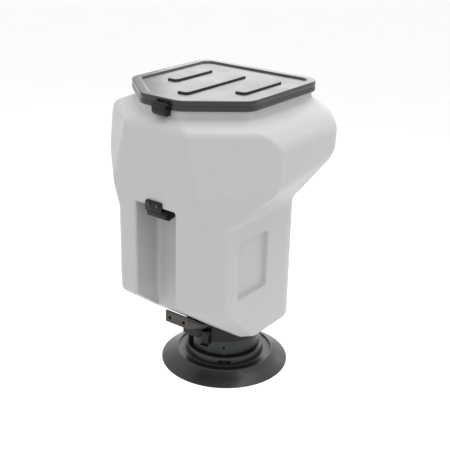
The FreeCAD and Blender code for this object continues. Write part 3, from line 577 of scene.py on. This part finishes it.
def build_lid_lugs():
    """Hinge knuckle on the truck side and the latch's two lugs at the back."""
    bm = bmesh.new()
    half, middle, knuckle_r, web_top = 17.5, 10.0, 5.0, 3.5
    pin_y, pin_z, web_end = -322.0, 895.0, -311.5
    lug_inner, lug_outer = 16.5, 20.5
    latch_pin_y, latch_pin_z = 163.5, 893.0
    pin_bore, latch_bore = 2.55, 3.05
    bar(bm, knuckle_r, (middle - half, pin_y, pin_z), (middle + half, pin_y, pin_z))
    block(bm, (middle - half, pin_y, pin_z - knuckle_r), (middle + half, web_end, pin_z + web_top))
    for side in (-1, 1):
        x0, x1 = sorted((side * lug_inner, side * lug_outer))
        block(bm, (x0, 149.5, 886), (x1, 169, 900))
    bevel(bm, sharp_edges(bm, 60), 0.9, 2)
    put_in_place(bm)
    made = make_piece("lid_lugs", bm, "lid", "lid_polyethylene")
    bores = bmesh.new()
    bar(bores, pin_bore, (-30, pin_y, pin_z), (50, pin_y, pin_z))
    bar(bores, latch_bore, (-30, latch_pin_y, latch_pin_z), (30, latch_pin_y, latch_pin_z))
    carve(made, bores)


build_lid()
build_ribs()
build_lid_lugs()


# ---------------------------------------------------------------- spread guard, drum, collar

guard_r, platform_r, sleeve_r, guard_bore = 200.0, 152.0, 122.0, 110.6
drum_r, drum_wall = 110.0, 4.0
screw_angles = [math.radians(-53.6 + 120 * i) for i in range(3)]


def arc(centre, radius, start, end, steps=5):
    """Points of (radius, z) along an arc, with angles in degrees from the outward direction."""
    angles = [math.radians(start + (end - start) * k / steps) for k in range(steps + 1)]
    return [(centre[0] + radius * math.cos(a), centre[1] + radius * math.sin(a)) for a in angles]


def build_guard():
    """Cone, platform with a raised lip, and the slotted sleeve that turns on the drum."""
    profile = arc((guard_r - 2.0, 2.0), 2.0, -90, 35)
    profile += [(176, 18.6)] + arc((platform_r + 0.5, 28.0), 4.0, 36, 60, 2)
    profile += [(platform_r + 0.6, 33.0)] + arc((platform_r - 1.2, 33.8), 1.3, 0, 90, 3)
    profile += arc((platform_r - 3.8, 33.8), 1.3, 90, 180, 3)
    profile += arc((platform_r - 6.6, 31.6), 1.6, 0, -90, 3)
    profile += arc((sleeve_r + 3.0, 33.0), 3.0, -90, -180, 4)
    profile += arc((sleeve_r - 2.0, 58.0), 2.0, 0, 90, 4) + [(guard_bore, 60.0)]
    profile += [(guard_bore, 27.0), (platform_r - 4.0, 27.0), (170, 18.4), (guard_r - 5.5, 0.0)]
    bm = bmesh.new()
    spin_profile(bm, profile)
    put_in_place(bm)
    made = make_piece("spread_guard_shell", bm, "guard", "guard_moulding", ["spread_guard"])
    slots = bmesh.new()
    half_angle = math.radians(7.6) + 3.0 / drum_r
    slot_corners = ((104, 41.5), (132, 41.5), (132, 48.5), (104, 48.5))
    for angle in screw_angles:
        start = [slots.verts.new((r, 0, z)) for r, z in slot_corners]
        face = slots.faces.new(start)
        bmesh.ops.rotate(slots, cent=(0, 0, 0), matrix=Matrix.Rotation(angle - half_angle, 3, "Z"),
                         verts=start)
        bmesh.ops.spin(slots, geom=[face] + start + list(face.edges), cent=(0, 0, 0), axis=(0, 0, 1),
                       angle=2 * half_angle, steps=10)
    bmesh.ops.remove_doubles(slots, verts=slots.verts, dist=merge_mm)
    bmesh.ops.recalc_face_normals(slots, faces=slots.faces)
    carve(made, slots)


def build_drum():
    """Rolled tube with a turned-in edge at both ends, a vent and the guard screws' holes."""
    inner = drum_r - drum_wall
    profile = arc((drum_r - 1.5, 41.5), 1.5, -90, 0, 3) + arc((drum_r - 1.5, 138.5), 1.5, 0, 90, 3)
    profile += [(inner, 140.0), (inner, 40.0)]
    bm = bmesh.new()
    spin_profile(bm, profile)
    put_in_place(bm)
    made = make_piece("feed_drum", bm, "hopper", "grey_drum", ["drum"])
    holes = bmesh.new()
    vent = (screw_angles[0] - math.radians(1), 4.0, 88.0)
    for angle, radius, z in [vent] + [(a, 3.0, 45.0) for a in screw_angles]:
        direction = Vector((math.cos(angle), math.sin(angle), 0))
        bar(holes, radius, direction * 95 + Vector((0, 0, z)), direction * 125 + Vector((0, 0, z)))
    carve(made, holes)


def build_collar():
    """Flanged ring over the drum's top, with a rolled bottom bead."""
    top, rim_r, lip_r, lip_top, step_z = 170.2, 104.0, 98.0, 174.2, 160.2
    profile = arc((118.0, 120.0), 4.0, -90, 0, 4) + [(122.0, 162.0)]
    profile += arc((124.5, 162.4), 2.5, 180, 90, 3) + arc((125.5, 167.7), 2.5, -45, 90, 5)
    profile += [(rim_r, top), (rim_r, lip_top), (lip_r, lip_top), (lip_r, step_z)]
    profile += [(112.0, 140.5), (112.0, 116.0)]
    bm = bmesh.new()
    spin_profile(bm, profile)
    put_in_place(bm)
    make_piece("feed_collar_ring", bm, "hopper", "black_moulding", ["feed_collar"])


build_guard()
build_drum()
build_collar()


# ---------------------------------------------------------------- small parts with broken edges

for node_name, width in (("lid_hinge_bracket", 0.9), ("latch_catch", 1.2), ("latch_strap", 0.8),
                         ("mounting_plate", 0.6), ("plate_bolts", 0.4), ("post_hanger", 1.4),
                         ("gate_slide", 0.4), ("gate_handle", 1.5), ("gate_guides", 0.8),
                         ("motor_spider", 0.8), ("motor", 1.0), ("spinner_disc", 0.6),
                         ("spinner_hub", 0.6), ("spinner_nut", 0.5), ("agitator", 0.5),
                         ("clamp_bracket_front", 0.4), ("clamp_bracket_back", 0.4),
                         ("clamp_lever_front", 0.6), ("clamp_lever_back", 0.6), ("clamp_keepers", 0.8),
                         ("cable_duct", 1.2), ("cable_gland", 0.6)):
    soften(node_name, width)


# ---------------------------------------------------------------- floor, light, camera

floor_drop = 0.75             # metres from the guard's rim down to the floor


def build_floor():
    """Wide level floor, out of reach of the object."""
    bm = bmesh.new()
    bmesh.ops.create_grid(bm, x_segments=1, y_segments=1, size=60.0)
    mesh = bpy.data.meshes.new("floor")
    bm.to_mesh(mesh)
    bm.free()
    # Seamless painted studio floor: matt white emulsion with a faint roller mottle.
    material, tree, shader, place = new_material("matt_white_studio_paint")
    mottle = add(tree, "ShaderNodeTexNoise", {"Scale": per_metre(400.0)}, {"Vector": place})
    colour = add(tree, "ShaderNodeMix", {"A": linear("F6F6F6"), "B": linear("FAFAFA")},
                 {"Factor": mottle.outputs["Fac"]}, data_type="RGBA")
    tree.links.new(colour.outputs["Result"], shader.inputs["Base Color"])
    shader.inputs["Roughness"].default_value = 0.9
    mesh.materials.append(material)
    floor = bpy.data.objects.new("floor", mesh)
    floor.location = (0, 0, axis_at.z - floor_drop)
    bpy.context.scene.collection.objects.link(floor)


def soft_light(name, place, target, size, power):
    """Rectangular lamp at a place, turned to a target, both in metres."""
    lamp = bpy.data.lights.new(name, "AREA")
    lamp.shape = "RECTANGLE"
    lamp.size, lamp.size_y = size
    lamp.energy = power
    made = bpy.data.objects.new(name, lamp)
    made.location = place
    made.rotation_euler = (Vector(target) - Vector(place)).to_track_quat("-Z", "Y").to_euler()
    bpy.context.scene.collection.objects.link(made)


def build_studio():
    """White surroundings, one lamp overhead and a wide one behind."""
    world = bpy.data.worlds.new("studio")
    bpy.context.scene.world = world
    world.use_nodes = True
    background = world.node_tree.nodes["Background"]
    background.inputs["Color"].default_value = (1, 1, 1, 1)
    background.inputs["Strength"].default_value = 1.02
    soft_light("overhead", (0.6, 0.3, 3.6), (0, 0.15, 0.2), (2.5, 2.5), 50)
    soft_light("back", (-1.3, 4.4, 2.4), (0, 0.2, 0.65), (4.4, 2.2), 46)
    bpy.context.scene.view_settings.view_transform = "Standard"


def build_camera():
    """Three-quarter view from the truck side, looking down on the lid."""
    azimuth, pitch, roll = math.radians(36.41), math.radians(22.24), math.radians(1.39)
    back = Vector((math.sin(azimuth) * math.cos(pitch), -math.cos(azimuth) * math.cos(pitch),
                   math.sin(pitch)))
    right = Vector((math.cos(azimuth), math.sin(azimuth), 0))
    up = back.cross(right)
    rolled_right = right * math.cos(roll) + up * math.sin(roll)
    rolled_up = up * math.cos(roll) - right * math.sin(roll)
    lens = bpy.data.cameras.new("camera")
    lens.lens = 72.2
    lens.sensor_width = 36.0
    made = bpy.data.objects.new("camera", lens)
    turn = Matrix((rolled_right, rolled_up, back)).transposed().to_4x4()
    made.matrix_world = Matrix.Translation(axis_at + Vector((1.5013, -2.0481, 1.4912))) @ turn
    bpy.context.scene.collection.objects.link(made)
    bpy.context.scene.camera = made


build_floor()
build_studio()
build_camera()
